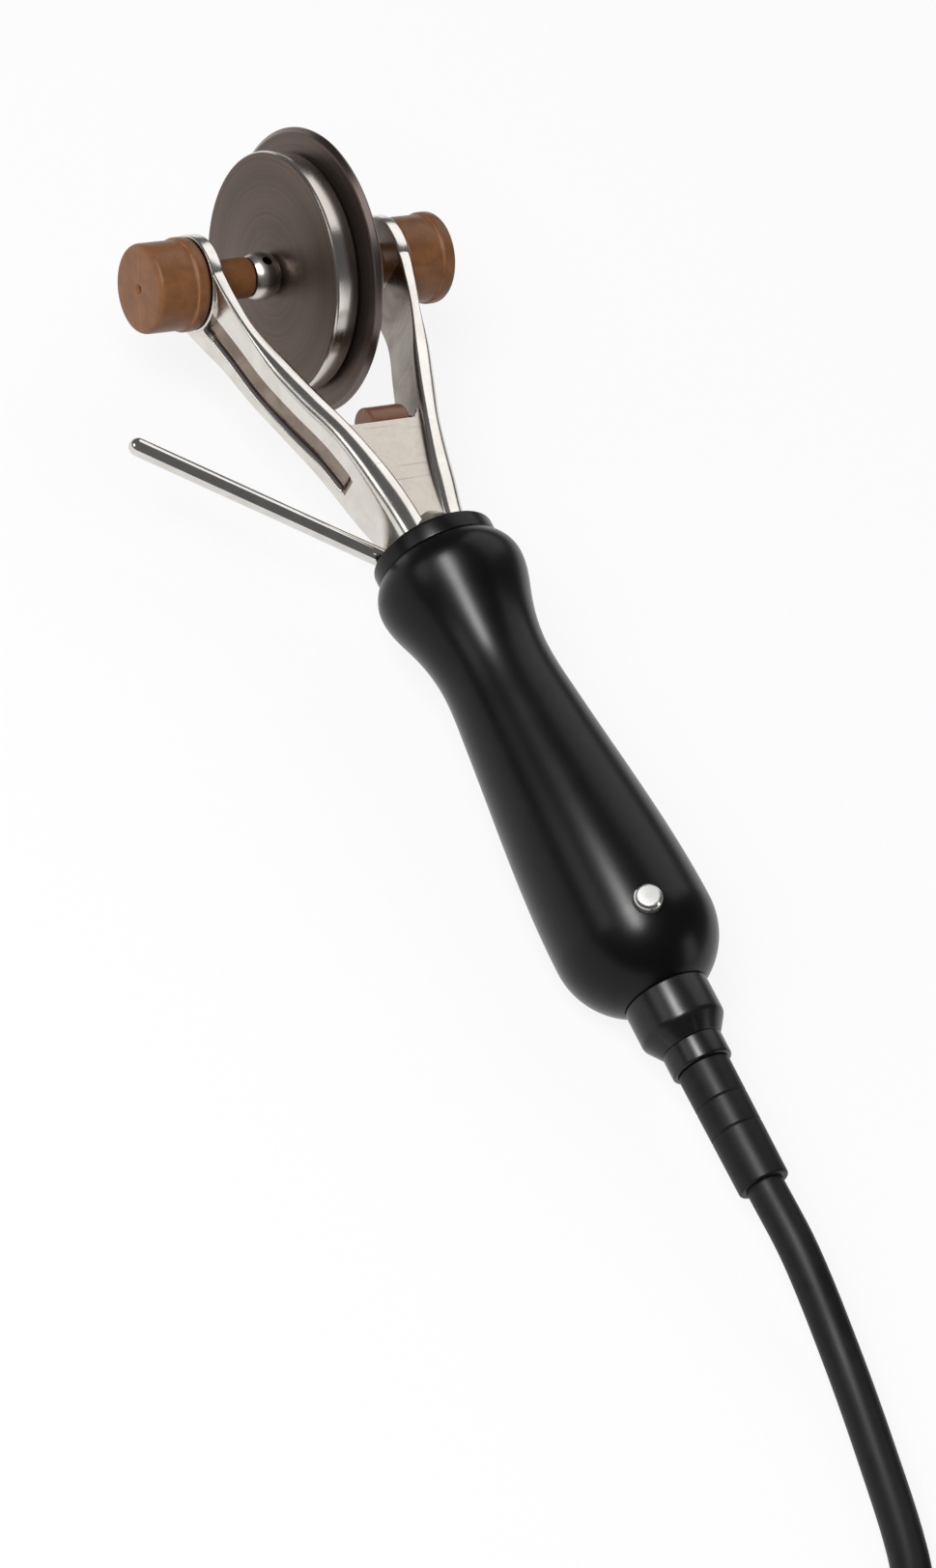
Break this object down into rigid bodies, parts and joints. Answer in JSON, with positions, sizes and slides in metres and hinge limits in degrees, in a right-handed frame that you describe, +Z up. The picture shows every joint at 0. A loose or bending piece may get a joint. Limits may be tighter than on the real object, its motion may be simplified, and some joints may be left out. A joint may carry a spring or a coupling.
{
  "type": "electric hot knife",
  "caption": "Hand-held electric hot knife: a turning heated blade wheel between the arms of a cast fork, on a black turned handle with push button, cord and plug.",
  "frame": {"origin": "centre of the bottom of the tool's box, without its free cord: the floor that the blade and the grip lie on", "axes": "+X forward along the tool towards the wheel, +Y along the wheel's axle towards the guide rod, +Z up"},
  "size_m": [0.4532, 0.1568, 0.063],
  "materials": {
    "blade_steel": "dark heat-tinted steel, turned face",
    "drum_steel": "dark turned face with a polished rim",
    "collar_steel": "satin steel",
    "axle_steel": "ground steel",
    "screw_steel": "plain steel",
    "brown_moulding": "semi-gloss brown phenolic moulding",
    "heater_glaze": "brown glazed ceramic",
    "cast_alloy": "polished casting with satin faces",
    "rod_chrome": "bright chromed steel",
    "black_lacquer": "glossy black",
    "nut_steel": "zinc plated steel",
    "lead_insulation": "woven insulation",
    "earth_insulation": "green insulation",
    "core_insulation": "brown insulation",
    "block_moulding": "cream moulding",
    "switch_moulding": "black moulding",
    "tab_brass": "plain brass",
    "spring_steel": "spring wire",
    "button_nickel": "satin nickel",
    "gland_moulding": "black moulding",
    "boot_rubber": "black rubber",
    "cord_rubber": "black rubber",
    "tie_strap": "dark strap",
    "plug_moulding": "black moulding"
  },
  "bodies": {
    "frame": {"left_bush": "brown_moulding", "right_bush": "brown_moulding", "left_cap": "brown_moulding", "right_cap": "brown_moulding", "fork": "cast_alloy", "guide_rod": "rod_chrome", "heater_body": "heater_glaze", "heater_stud": "screw_steel", "heater_leads": "lead_insulation", "handle": "black_lacquer", "tang_washer": "nut_steel", "tang_nut": "nut_steel", "terminal_block": "block_moulding", "earth_lead": "earth_insulation", "switch_body": "switch_moulding", "switch_tabs": "tab_brass", "switch_leads": "core_insulation", "switch_spring": "spring_steel", "mains_cores": "core_insulation", "gland_nut": "gland_moulding", "gland_ring": "gland_moulding", "boot": "boot_rubber", "cord_inner": "cord_rubber", "cord": "cord_rubber", "cord_coil": "cord_rubber", "cord_tail": "cord_rubber", "cord_tie": "tie_strap", "plug_body": "plug_moulding", "plug_pins": "tab_brass"},
    "wheel": {"axle": "axle_steel", "drum": "drum_steel", "blade_disc": "blade_steel", "clamp_screws": "screw_steel", "left_collar": "collar_steel", "right_collar": "collar_steel", "collar_screws": "screw_steel"},
    "button": {"button": "button_nickel"}
  },
  "joints": [
    {"name": "wheel_spin", "type": "hinge", "parent": "frame", "child": "wheel", "pos_m": [0.1018, -0.00867, 0.0315], "axis": [0, 1, 0], "continuous": true},
    {"name": "button_press", "type": "slide", "parent": "frame", "child": "button", "axis": [0.0762, -0.3173, -0.9453], "range_m": [0, 0.0015], "stiffness_N_per_m": 400, "deforming": ["switch_spring"]}
  ]
}
